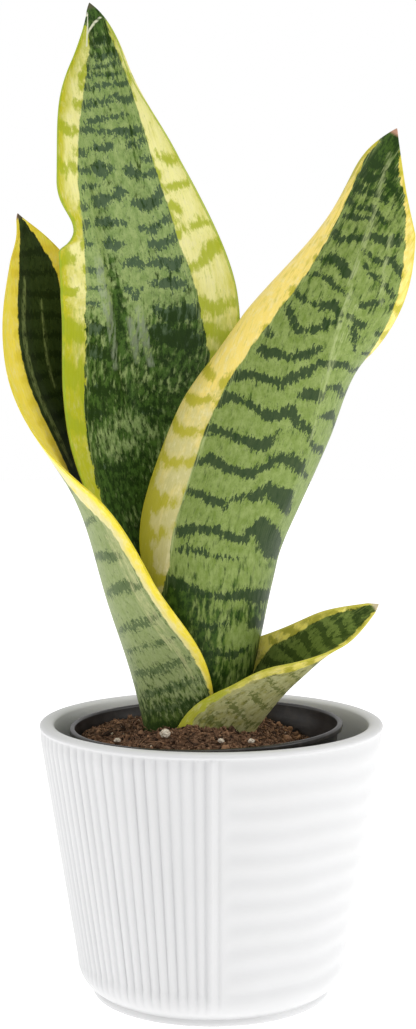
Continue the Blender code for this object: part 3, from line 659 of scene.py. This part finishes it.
def leafMaterial(name, leaf, tones, seed):
    material = newMaterial(name, 0.2, [("IOR", 1.4)])
    place = node("CombineXYZ", {0: painted("across"), 1: painted("along"), 2: seed}).outputs[0]
    band, green, deepAndShade, edge, ripe = (painted(key) for key in ("band", "green", "deepAndShade", "edge", "ripe"))

    def blown(x, y, shift, detail, rough):
        return cloud(stretched(place, x, y, shift=shift), 1.0, detail, rough)

    # ragged strokes that run up the blade, then mottling, soft clouds, lengthwise grain, specks and pores
    wide, tall, reach = leaf["strokes"]
    strokes, wisps = blown(wide, tall, 0, 6, 0.68), blown(wide * 0.6, tall * 0.5, 31, 5, 0.62)
    mottle, clouds, grain, specks, pores = (blown(*settings) for settings in leafSurface["noises"].values())

    bandEdge = ragged(clouds, leafSurface["cloudReach"], ragged(strokes, reach, band))
    bandShare = part(step(bandEdge, -0.2, 0.3), mixValue(wisps, 0.86, 1.1))
    speckShare = part(step(specks, 0.58, 0.66), step(band, -4.5, 0.0))
    bandShare = calc("MAXIMUM", bandShare, part(speckShare, 0.65))
    # where the blade is deep green and where shade is painted on it
    deepAndShadeShare = step(ragged(wisps, 2.4, deepAndShade), 0.25, 0.75)

    lightGreen = mixTone(step(mottle, 0.3, 0.72), tones["pale"], tones["mid"])
    freckles = part(step(strokes, 0.56, 0.62), step(clouds, 0.4, 0.6))
    lightGreen = mixTone(part(freckles, leaf["mottle"]), lightGreen, tones["band"])
    deepAndShadedGreen = mixTone(step(mottle, 0.42, 0.6), tones["deepBand"], tones["deep"])
    deepAndShadedGreen = mixTone(part(step(strokes, 0.58, 0.68), 0.5), deepAndShadedGreen, tones["mid"])
    ground = mixTone(deepAndShadeShare, lightGreen, deepAndShadedGreen)
    bandTone = mixTone(deepAndShadeShare, tones["band"], tones["deepBand"])
    greenTone = mixTone(part(bandShare, 0.94), ground, bandTone)

    # a pale lining beside the margin, and pale streaks that are painted gloss highlights
    lining = part(step(green, 2.6, 0.6), step(grain, 0.5, 0.66))
    greenTone = mixTone(part(lining, 0.55), greenTone, tones["lining"])
    # painted gloss highlights: pale streaks along the drawn lines
    glossStreakShare = part(step(ragged(grain, 2.4, painted("glossStreak")), -0.6, 0.5), step(wisps, 0.35, 0.6))
    greenTone = mixTone(part(glossStreakShare, 0.6), greenTone, tones["glossStreak"])

    # the yellow margins, with stains that carry the bands on and a thin rim in a tone of its own
    yellow = mixTone(step(ragged(clouds, 1.3, ripe), 0.0, 1.0), tones["yellow"], tones["ripe"])
    yellow = mixTone(part(step(mottle, 0.45, 0.7), 0.45), yellow, leafSurface["creamTone"])
    stainShare = step(ragged(clouds, 5.0, ragged(mottle, 9.0, band)), -1.4, 0.6)
    stainShare = calc("MAXIMUM", stainShare, part(step(strokes, 0.58, 0.7), leaf["mottle"]))
    yellow = mixTone(part(stainShare, 0.88), yellow, tones["stain"])
    # the margins darkened towards the stain tone with the deep green and the painted shade
    yellow = mixTone(part(deepAndShadeShare, 0.5), yellow, tones["stain"])
    rimShare = step(ragged(wisps, -2.0, edge), leaf["rimWidth"] * 1.7, 0.1)
    yellow = mixTone(part(rimShare, 0.75), yellow, tones["rim"])

    blur = calc("MULTIPLY_ADD", deepAndShade, 5.0, 1.2)
    colour = mixTone(step(ragged(wisps, blur, green), -0.2, 0.25), yellow, greenTone)
    shade = {0: colour, "Scale": mixValue(grain, 0.88, 1.12)}
    colour = node("VectorMath", shade, operation="SCALE").outputs[0]
    colour = mixTone(step(painted("fromTip"), 2.4, 1.0), colour, tones["dry"])
    scarShare = step(painted("scar"), -0.25, 0.15)
    colour = mixTone(part(scarShare, 0.9), colour, leafSurface["scarTone"])

    roughness = mixValue(strokes, *leafSurface["rough"])
    height = calc("MULTIPLY_ADD", grain, 1.2, part(pores, 0.5))
    return finishMaterial(material, colour, roughness, height, *leafSurface["bump"])


leaves = {"leaf_tall": tallLeaf, "leaf_left": leftLeaf, "leaf_right": rightLeaf, "leaf_small": smallLeaf}
for seed, (nodeName, leaf) in enumerate(leaves.items()):
    bothSides = [leafMaterial(f"{nodeName}.{side}", leaf, leaf[side], 3.0 * seed + turn)
                 for turn, side in enumerate(("hollow", "back"))]
    addPiece(nodeName + "_blade", leafMesh(nodeName, leaf), bothSides, [nodeName])
print("leaves made")


# Planter: fluted left half, level ridges on the right half, a bead at each seam

planter = {
    "rimRadius": 56.5, "rimHeight": 90.0, "bandHeight": 84.5, "heelRadius": 44.4, "heelHeight": 12.0,
    "cornerRadius": 7.0, "footRadius": 39.4, "notchHeight": 2.4, "floorHeight": 6.0, "wall": 5.0,
    "lipWidth": 2.4, "lipRise": 1.3, "reliefTop": 87.6,
    "flutes": 46, "fluteDepth": 0.6, "ridgePitch": 7.5, "ridgeDepth": 0.35, "beadHeight": 0.35,
    "beadWidth": 0.7, "grooveAt": 2.2, "grooveWidth": 0.55, "grooveDepth": 0.35,
    # the hollow tone is painted shade for the flute valleys, ridge dips and seam grooves
    "tone": tone(216, 216, 216), "lightTone": tone(222, 222, 223), "recessShadeTone": tone(192, 193, 195),
    "speckTone": tone(140, 98, 70), "speckScale": 230.0, "speckRarity": 0.994,
}


def planterRadius(z):
    share = (z - planter["heelHeight"]) / (planter["bandHeight"] - planter["heelHeight"])
    return planter["heelRadius"] + share * (planter["rimRadius"] - 0.3 - planter["heelRadius"])


def planterOutline():  # (radius, height, share of the relief), from under the foot up and over the rim
    foot, notch, rim, top = (planter[key] for key in ("footRadius", "notchHeight", "rimRadius", "rimHeight"))
    heel, heelHeight, relief = planter["heelRadius"], planter["heelHeight"], planter["reliefTop"]
    rows = [(20, 1.0, 0), (33.5, 1.0, 0), (34.6, 0.7, 0), (35.2, 0.2, 0), (36, 0, 0), (foot - 0.8, 0, 0),
            (foot - 0.3, 0.15, 0), (foot, 0.7, 0), (foot - 0.1, 1.5, 0), (foot - 0.5, 2.2, 0)]
    for angle in np.radians(range(-72, 0, 6)):
        z = heelHeight + (heelHeight - notch) * math.sin(angle)
        radius = heel - planter["cornerRadius"] * (1 - math.cos(angle))
        rows.append((radius, z, float(smooth(notch + 0.5, heelHeight + 1, z))))
    rows += [(planterRadius(min(z, planter["bandHeight"])), z, 1) for z in np.arange(heelHeight, relief, 1.0)]
    rows += [(rim - 0.35, relief, 0.8), (rim - 0.4, 87.95, 0.4), (rim - 0.25, 88.2, 0.1)]
    rows.append((rim - 0.05, 88.45, 0))
    for angle in np.radians(range(0, 181, 15)):  # the rounded lip
        radius = rim - planter["lipWidth"] * (1 - math.cos(angle))
        rows.append((radius, top - planter["lipRise"] * (1 - math.sin(angle)), 0))
    inside = rim - planter["wall"]
    rows += [(inside, 87.0, 0), (inside - 0.6, 80, 0), (planterRadius(45) - 5, 45, 0)]
    return rows + [(heel - 5, 14, 0), (heel - 7, 9, 0), (34, 6.6, 0), (31, 6, 0)]


def planterAngles():  # anticlockwise from the front seam, with columns close together at both seams
    close = [0, 0.2, 0.4, 0.6, 0.85, 1.1, 1.5, 1.9, 2.2, 2.5, 2.8, 3.2, 3.7, 4.5, 5.5]
    middle = list(np.linspace(6.5, 173.5, 150))
    ridged = [angle - 90 for angle in close + middle + [180 - angle for angle in reversed(close[1:])]]
    columns = 14 * planter["flutes"]
    return np.radians(ridged + [90 + 180 * k / columns for k in range(columns)])


def planterMesh():
    angles = planterAngles()
    radius, z, relief = (np.array(column, float)[:, None] for column in zip(*planterOutline()))
    turns = np.degrees(angles)[None, :]
    fluted = (turns > 90).astype(float)
    count = (turns - 90) / 180 * planter["flutes"]
    valley = np.abs(count - np.round(count)) * 2
    uneven = 1 + 0.12 * np.sin(np.round(count) * 2.4) + 0.1 * np.sin(z / 14 + np.round(count))
    fluteDip = planter["fluteDepth"] * uneven * valley**1.8 * fluted
    waver = 0.5 * np.sin(np.radians(turns) * 3 + z / 30) + 0.3 * np.sin(np.radians(turns) * 8 + z / 13)
    wave = 0.5 - 0.5 * np.cos(2 * np.pi * z / planter["ridgePitch"] + waver)
    fromFront, fromBack, fromFluteEnd = (np.radians(np.abs(turns - seam)) * radius for seam in (-90, 90, 270))
    fromSeam = np.minimum(fromFront, fromBack)
    clear = smooth(planter["grooveAt"] + 0.5, planter["grooveAt"] + 5, fromSeam)
    ridgeDip = planter["ridgeDepth"] * wave * clear * (1 - fluted)
    fromGroove = (fromSeam - planter["grooveAt"]) / planter["grooveWidth"]
    groove = planter["grooveDepth"] * np.exp(-(fromGroove**2))
    fromBead = np.minimum(fromSeam, fromFluteEnd)
    bead = planter["beadHeight"] * np.exp(-((fromBead / planter["beadWidth"]) ** 2))
    r = radius - relief * (fluteDip + ridgeDip + groove * (1 - fluted) - bead)
    rings = np.stack([r * np.cos(angles), r * np.sin(angles), np.broadcast_to(z, r.shape)], axis=-1)
    mesh = skin("planter", rings, (0, 0, 1), (0, 0, planter["floorHeight"]))
    # how deep each place sits in a flute valley, ridge dip or seam groove, kept for the painted shade
    store(mesh, "recessShade", relief * np.clip(fluteDip / planter["fluteDepth"] + ridgeDip + groove, 0, 1))
    return mesh


def glazeMaterial():
    gloss = [("IOR", 1.45), ("Coat Weight", 0.25), ("Coat Roughness", 0.22)]
    material = newMaterial("white_glaze", 0.5, gloss)
    place = spot()
    mottle = cloud(place, 45.0, 4.0)
    fineMottle = cloud(place, 600.0, 3.0)
    dots = cells(place, planter["speckScale"])
    pick = node("SeparateColor", {0: dots["Color"]}).outputs[0]
    rare = calc("GREATER_THAN", pick, planter["speckRarity"])
    speck = part(step(dots["Distance"], 0.1, 0.05), rare)
    colour = mixTone(mottle, planter["tone"], planter["lightTone"])
    # painted shade: flute valleys, ridge dips and seam grooves are greyed
    colour = mixTone(part(painted("recessShade"), 0.5), colour, planter["recessShadeTone"])
    colour = mixTone(part(speck, 0.75), colour, planter["speckTone"])
    height = calc("MULTIPLY_ADD", mottle, 1.6, part(fineMottle, 0.25))
    return finishMaterial(material, colour, mixValue(fineMottle, 0.34, 0.48), height, 0.2, 0.5)


addPiece("planter_glazed", planterMesh(), [glazeMaterial()], ["planter"], sharpOver=60)
print("planter made")


# Nursery pot: thin black plastic with a rolled rim and drain holes, its soft rim a little lower on the left

pot = {
    "rimRadius": 45.0, "rimHeight": 88.9, "footRadius": 31.0, "footHeight": 6.3, "wall": 1.0,
    "lipHeight": 2.2, "lipWidth": 1.8, "offset": -1.85, "slope": 1.2, "segments": 144,
    "drainHoles": 6, "drainRadius": 4.0, "drainCircle": 20.0, "drainSegments": 24, "drillSpan": (4.0, 10.0),
    "tone": tone(30, 27, 25), "scuffTone": tone(52, 46, 42),
}


def potRadius(z):
    share = (z - pot["footHeight"]) / (pot["rimHeight"] - pot["footHeight"])
    return pot["footRadius"] + share * (pot["rimRadius"] - 0.6 * pot["lipWidth"] - pot["footRadius"])


def potRise(x, z):
    share = np.clip((z - pot["footHeight"]) / (pot["rimHeight"] - pot["footHeight"]), 0, 1)
    return x * math.tan(math.radians(pot["slope"])) * share


def potMesh():
    foot, top, rim, wall = pot["footHeight"], pot["rimHeight"], pot["rimRadius"], pot["wall"]
    under, bar, floor = top - pot["lipHeight"], pot["lipWidth"], foot + wall
    rows = [(12, foot), (26, foot), (30.4, foot), (30.9, foot + 0.3), (31, foot + 0.8)]
    rows += [(potRadius(z) + 0.12 * math.sin(z / 3), z) for z in np.arange(9.0, 84.0, 3.0)]
    rows += [(potRadius(under) - 0.05, under - 0.5), (rim - 0.5, under - 0.1), (rim - 0.1, under + 0.25)]
    rows += [(rim, under + 0.7), (rim, top - 0.7)]
    rows += [(rim - bar / 2 * (1 - math.cos(a)), top - 0.7 + 0.7 * math.sin(a))
             for a in np.radians(range(15, 180, 15))]
    rows += [(rim - bar, top - 0.8), (rim - bar - 0.05, 84)]
    rows += [(potRadius(z) - wall, z) for z in np.arange(80.0, 10.0, -6.0)]
    rows += [(potRadius(floor + 1) - 1.2, floor + 0.8), (potRadius(floor) - 2, floor)]
    rows += [(26, floor), (12, floor)]
    turn = np.linspace(0, 2 * np.pi, pot["segments"], endpoint=False)[None, :]
    radius, z = (np.array(column, float)[:, None] for column in zip(*rows))
    sway = 1 + 0.0025 * np.sin(3 * turn + 1) * smooth(60, 88, z)
    x, y = radius * sway * np.cos(turn), radius * sway * np.sin(turn)
    rings = np.stack([pot["offset"] + x, y, z + potRise(x, z)], axis=-1)
    return skin("nursery_pot", rings, (pot["offset"], 0, foot), (pot["offset"], 0, floor))


def drainDrills():
    points, faces = [], []
    count = pot["drainSegments"]
    for angle in 2 * np.pi * (np.arange(pot["drainHoles"]) + 0.5) / pot["drainHoles"]:
        x, y = pot["offset"] + pot["drainCircle"] * math.cos(angle), pot["drainCircle"] * math.sin(angle)
        start = len(points)
        points += [(x + pot["drainRadius"] * math.cos(t), y + pot["drainRadius"] * math.sin(t), z)
                   for z in pot["drillSpan"] for t in np.linspace(0, 2 * np.pi, count, endpoint=False)]
        low = [start + i for i in range(count)]
        high = [count + i for i in low]
        faces += [low[::-1], high]
        faces += [[low[i - 1], low[i], high[i], high[i - 1]] for i in range(count)]
    drills = putInScene("drain_drills", newMesh("drain_drills", points, faces))
    drills.hide_render = True
    drills.hide_viewport = True
    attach(drills, "root")
    return drills


def plasticMaterial():
    material = newMaterial("black_plastic", 0.5)
    place = spot()
    scuffs = cloud(place, 260.0, 4.0)
    rings = cloud(stretched(place, 20.0, 20.0, 900.0), 1.0, 2.0)
    colour = mixTone(step(scuffs, 0.4, 0.75), pot["tone"], pot["scuffTone"])
    roughness = mixValue(scuffs, 0.24, 0.42)
    return finishMaterial(material, colour, roughness, calc("ADD", scuffs, rings), 0.12, 0.2)


potPiece = addPiece(
    "pot_rolled_rim", potMesh(), [plasticMaterial()], ["nursery_pot"], sharpOver=50)
drillCut = potPiece.modifiers.new("drain holes", "BOOLEAN")
drillCut.operation = "DIFFERENCE"
drillCut.solver = "EXACT"
drillCut.object = drainDrills()
print("nursery pot made")


# Potting soil: a crumbly bed, loose crumbs, bark fibres and perlite. Perlite grains are x, y and three radii.

soil = {
    "top": 86.6, "edgeDrop": 1.6, "sink": 6.0, "sinkFrom": 10.0, "sinkTo": 36.0, "edgeClear": 0.12,
    "mound": 5.0, "moundAt": (-5.0, -20.0), "moundReach": 18.0, "rings": 105, "segments": 300, "lumps": 1.1,
    "crumbs": 4200, "crumbSpread": (3.0, 0.11), "crumbStretch": (0.5, 1.5), "crumbLimits": (0.12, 1.3),
    "fibres": 420, "fibreLength": (2.5, 8.0), "fibreThick": (0.08, 0.2), "fibreSides": 5, "fibreSteps": 7,
    "flecks": 34, "fleckSize": (0.2, 0.6),
    "dark": tone(74, 53, 38), "light": tone(116, 86, 64), "dust": tone(166, 132, 104),
    "bark": tone(160, 122, 92), "damp": tone(44, 31, 23),
}
perlite = {
    "flecks": (tone(214, 198, 174), tone(140, 112, 88)), "grains": (tone(226, 216, 198), tone(150, 124, 98)),
    "places": (
        (-14.5, -28.0, 1.9, 1.6, 1.4), (3.0, -33.0, 1.1, 0.9, 0.8), (12.5, -29.0, 1.2, 1.0, 0.8),
        (16.0, -35.0, 1.0, 1.2, 0.8), (-30.0, -20.0, 1.1, 0.9, 0.8), (26.0, -22.0, 1.0, 1.0, 0.7),
    ),
}


def soilHeight(x, y):
    reach = np.minimum(np.hypot(x - pot["offset"], y) / (pot["rimRadius"] - pot["lipWidth"]), 1)
    sink = soil["sink"] * smooth(soil["sinkFrom"], soil["sinkTo"], x)
    tilt = math.tan(math.radians(pot["slope"])) * np.minimum(x, 0)
    fromMound = np.hypot(x - soil["moundAt"][0], y - soil["moundAt"][1]) / soil["moundReach"]
    return soil["top"] - soil["edgeDrop"] * reach**3 - sink + soil["mound"] * np.exp(-(fromMound**2)) + tilt


def lumpsAt(x, y):
    def lump(place):
        coarse = noise.fractal(place / 4.5, 0.9, 2.1, 4)
        return 0.55 * coarse - 0.5 * noise.voronoi(place / 1.5)[0][0] + 0.2 * noise.noise(place * 2.2)

    return soil["lumps"] * np.array([lump(Vector((a, b, 0))) for a, b in zip(x, y)])


def soilMesh():
    turn = np.linspace(0, 2 * np.pi, soil["segments"], endpoint=False)
    floor = pot["footHeight"] + pot["wall"] + 0.3
    rings = []
    for z in (floor, 30.0, 55.0, 72.0):
        radius = potRadius(z) - pot["wall"] - soil["edgeClear"] - 0.15
        x, y = radius * np.cos(turn), radius * np.sin(turn)
        rings.append(np.stack([pot["offset"] + x, y, z + potRise(x, z)], axis=-1))
    rimReach = potRadius(80.0) - pot["wall"] - soil["edgeClear"]
    for k in np.linspace(1, 0, soil["rings"], endpoint=False) ** 0.85:
        x, y = pot["offset"] + k * rimReach * np.cos(turn), k * rimReach * np.sin(turn)
        lumps = lumpsAt(x, y) * (1 - 0.6 * smooth(0.97, 1.0, k))
        rings.append(np.stack([x, y, soilHeight(x, y) + lumps], axis=-1))
    rings = np.array(rings)
    rings[3, :, 2] = np.minimum(rings[3, :, 2], rings[4, :, 2] - 1.5)
    top = (pot["offset"], 0, float(soilHeight(pot["offset"], 0)))
    return skin("soil", rings, (pot["offset"], 0, floor), top)


def soilMaterial(name, crumbly=True):  # crumbs and fibres each have a shade of their own
    material = newMaterial(name, 0.2)
    place = spot()
    pick = painted("pick") if crumbly else cloud(place, 420.0, 2.0)
    fine = cloud(place, 900.0, 5.0, 0.65)
    coarse = cloud(place, 160.0, 3.0)
    brown = mixTone(step(coarse, 0.35, 0.7), soil["dark"], soil["light"])
    brown = mixTone(step(fine, 0.45, 0.75), brown, soil["dust"])
    brown = mixTone(step(pick, 0.6, 1.05), brown, soil["bark"])
    brown = mixTone(step(pick, 0.4, 0.0), brown, soil["damp"])
    lowRough, bumpStrength, bumpDepth = (0.8, 0.7, 0.3) if crumbly else (0.85, 0.8, 0.6)
    return finishMaterial(material, brown, mixValue(fine, lowRough, 1.0), fine, bumpStrength, bumpDepth)


def perliteMaterial(name, light, dark):
    material = newMaterial(name, 0.25)
    place = spot()
    pits = cells(place, 2200.0)["Distance"]
    grime = cloud(place, 700.0, 4.0)
    colour = mixTone(step(grime, 0.42, 0.72), light, dark)
    return finishMaterial(
        material, colour, mixValue(grime, 0.8, 1.0), calc("ADD", pits, grime), 0.6, 0.3)


def grainShape(detail):  # a unit ball of triangles, made finer by halving its edges
    golden = (1 + 5**0.5) / 2
    corners = [(a, b * golden, 0) for b in (1, -1) for a in (-1, 1)]
    points = [Vector(point[turn:] + point[:turn]).normalized() for turn in (0, 2, 1) for point in corners]
    faces = [(0, 11, 5), (0, 5, 1), (0, 1, 7), (0, 7, 10), (0, 10, 11), (1, 5, 9), (5, 11, 4), (11, 10, 2),
             (10, 7, 6), (7, 1, 8), (3, 9, 4), (3, 4, 2), (3, 2, 6), (3, 6, 8), (3, 8, 9), (4, 9, 5),
             (2, 4, 11), (6, 2, 10), (8, 6, 7), (9, 8, 1)]
    for _ in range(detail):
        halves, finer = {}, []

        def halfway(a, b):
            key = (min(a, b), max(a, b))
            if key not in halves:
                halves[key] = len(points)
                points.append((points[a] + points[b]).normalized())
            return halves[key]

        for a, b, c in faces:
            ab, bc, ca = halfway(a, b), halfway(b, c), halfway(c, a)
            finer += [(a, ab, ca), (b, bc, ab), (c, ca, bc), (ab, bc, ca)]
        faces = finer
    return np.array(points), np.array(faces)


def scatterMesh(name, places, sizes, bump):  # one mesh of many odd-shaped grains
    ball, faces = grainShape(1)
    grains, picks = [], []
    for place, size in zip(places, sizes):
        turn = np.linalg.qr(chance.normal(size=(3, 3)))[0]
        shape = ball * (1 + bump * chance.normal(size=(len(ball), 1)))
        grains.append((shape * size) @ turn.T + place)
        picks.append(np.full(len(ball), chance.random()))
    offsets = np.arange(len(places))[:, None, None] * len(ball)
    mesh = newMesh(name, np.concatenate(grains), (faces[None] + offsets).reshape(-1, 3).tolist())
    store(mesh, "pick", np.concatenate(picks))
    return mesh


def soilPlaces(count, inset, lift):  # random places on the soil, lifted a little
    reach = (potRadius(82.0) - pot["wall"] - inset) * np.sqrt(chance.random(count))
    turn = 2 * np.pi * chance.random(count)
    x, y = pot["offset"] + reach * np.cos(turn), reach * np.sin(turn)
    return np.stack([x, y, soilHeight(x, y) + lumpsAt(x, y) + lift * chance.random(count)], axis=1)


def fibreMesh():
    points, faces, picks = [], [], []
    sides, steps = soil["fibreSides"], soil["fibreSteps"]
    for place in soilPlaces(soil["fibres"], 3.5, 0.9):
        length, thick = chance.uniform(*soil["fibreLength"]), chance.uniform(*soil["fibreThick"])
        heading, lean = 2 * np.pi * chance.random(), chance.normal(0, 0.18)
        bend = chance.normal(0, 0.9)
        shade, start = chance.random(), len(points)
        for t in np.linspace(-0.5, 0.5, steps):
            way = heading + bend * t
            middle = place + length * t * np.array([math.cos(way), math.sin(way), lean - 0.5 * abs(t)])
            size = thick * (1 - 1.7 * t * t)
            for angle in 2 * np.pi * np.arange(sides) / sides:
                flat = size * math.cos(angle)
                points.append(middle + (-flat * math.sin(way), flat * math.cos(way), size * math.sin(angle)))
        picks += [shade] * (steps * sides)
        loops = [[start + k * sides + j for j in range(sides)] for k in range(steps)]
        for low, high in zip(loops, loops[1:]):
            faces += [(low[j - 1], low[j], high[j], high[j - 1]) for j in range(sides)]
        faces += [loops[0][::-1], loops[-1]]
    mesh = newMesh("fibres", points, faces)
    store(mesh, "pick", picks)
    return mesh


def pebbleMesh(index, centre, radii):
    ball, faces = grainShape(4)
    lumps = [0.92 + 0.24 * noise.fractal(Vector(p) * 1.5 + Vector((index, 0, 0)), 0.8, 2.0, 4) for p in ball]
    x, y, z = (ball * np.array(lumps)[:, None] * np.array(radii)).T
    cos, sin = math.cos(1.3 * index), math.sin(1.3 * index)
    spun = np.stack([x * cos - y * sin, x * sin + y * cos, z - 0.3], axis=1)
    return newMesh(f"grain_{index}", spun + centre, faces.tolist())


addPiece("soil_bed", soilMesh(), [soilMaterial("potting_soil", crumbly=False)], ["soil"])
crumbs = soilPlaces(soil["crumbs"], 1.0, 0.55)
crumbSizes = chance.gamma(*soil["crumbSpread"], (len(crumbs), 1))
crumbSizes = crumbSizes * chance.uniform(*soil["crumbStretch"], (len(crumbs), 3))
crumbMesh = scatterMesh("crumbs", crumbs, np.clip(crumbSizes, *soil["crumbLimits"]), 0.24)
addPiece("soil_crumbs", crumbMesh, [soilMaterial("crumbs")])
addPiece("soil_fibres", fibreMesh(), [soilMaterial("fibres")])
flecks = soilPlaces(soil["flecks"], 3.0, 0.4)
fleckMesh = scatterMesh("flecks", flecks, chance.uniform(*soil["fleckSize"], (len(flecks), 3)), 0.2)
addPiece("perlite_flecks", fleckMesh, [perliteMaterial("flecks", *perlite["flecks"])])
for index, (x, y, *radii) in enumerate(perlite["places"], start=1):
    low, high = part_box(f"perlite_grain_{index}")
    pebble = pebbleMesh(index, np.array((low + high) / 2) / mm, radii)
    grainMaterial = perliteMaterial(f"perlite_{index}", *perlite["grains"])
    addPiece(f"perlite_pebble_{index}", pebble, [grainMaterial], [f"perlite_grain_{index}"])
print("soil made")


# The rhizome keeps its CAD shape under the soil

rhizomeTones = {"flesh": tone(214, 168, 106), "ring": tone(176, 118, 62), "spot": tone(110, 72, 44)}


def rhizomeMaterial():
    material = newMaterial("rhizome_flesh", 0.3)
    place = spot()
    fine = cloud(place, 500.0, 4.0)
    rings = cloud(stretched(place, 60.0, 60.0, 420.0), 1.0, 3.0)
    colour = mixTone(step(rings, 0.35, 0.65), rhizomeTones["flesh"], rhizomeTones["ring"])
    colour = mixTone(step(fine, 0.6, 0.75), colour, rhizomeTones["spot"])
    return finishMaterial(
        material, colour, mixValue(fine, 0.55, 0.8), calc("ADD", fine, rings), 0.4, 0.5)


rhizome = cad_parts["rhizome"]
rhizome.data.materials.clear()
rhizome.data.materials.append(rhizomeMaterial())


# Pale floor, soft studio light and camera

studio = {
    "floorHalf": 3000.0, "floorGlow": 0.62, "floorTones": (tone(238, 238, 238), tone(242, 242, 242)),
    "sky": 0.68, "backdrop": 1.0,
    "lights": (
        ("key_right", (0.70, -0.22, 0.40), 0.55, 1.5),
        ("fill_left", (-0.75, 0.0, 0.30), 0.6, 0.8),
        ("top", (0.05, -0.10, 0.95), 0.5, 1.15),
    ),
    "aim": (0.0, 0.0, 0.13),
    "cameraAt": (-1.09, -601.7, 202.4), "cameraPitch": 4.24, "lens": 64.5,
}


def addFloor():
    half = studio["floorHalf"]
    corners = [(-half, -half, 0), (half, -half, 0), (half, half, 0), (-half, half, 0)]
    floor = putInScene("floor", newMesh("floor", corners, [(0, 1, 2, 3)]))
    glow = [("Emission Color", (1, 1, 1, 1)), ("Emission Strength", studio["floorGlow"])]
    floor.data.materials.append(newMaterial("floor_paper", 0.1, glow))
    link(mixTone(cloud(spot(), 3.0, 2.0), *studio["floorTones"]), "Principled BSDF", "Base Color")


def addLights():
    for name, place, size, power in studio["lights"]:
        lamp = bpy.data.lights.new(name, "AREA")
        lamp.shape = "DISK"
        lamp.size = size
        lamp.energy = power
        holder = putInScene(name, lamp)
        holder.location = place
        holder.rotation_euler = (Vector(studio["aim"]) - Vector(place)).to_track_quat("-Z", "Y").to_euler()


def addSky():
    world = bpy.data.worlds.new("studio")
    bpy.context.scene.world = world
    world.use_nodes = True
    bench["tree"] = world.node_tree
    bench["tree"].nodes["Background"].inputs["Color"].default_value = (1, 1, 1, 1)
    seen = node("LightPath").outputs["Is Camera Ray"]
    link(mixValue(seen, studio["sky"], studio["backdrop"]), "Background", "Strength")


def addCamera():
    camera = bpy.data.cameras.new("camera")
    camera.lens = studio["lens"]
    camera.sensor_width = 36.0
    camera.clip_start = 0.01
    holder = putInScene("camera", camera)
    holder.location = [value * mm for value in studio["cameraAt"]]
    holder.rotation_euler = (math.radians(90 - studio["cameraPitch"]), 0, 0)
    bpy.context.scene.camera = holder


addFloor()
addLights()
addSky()
addCamera()
bpy.context.scene.view_settings.view_transform = "Standard"
print("studio set")
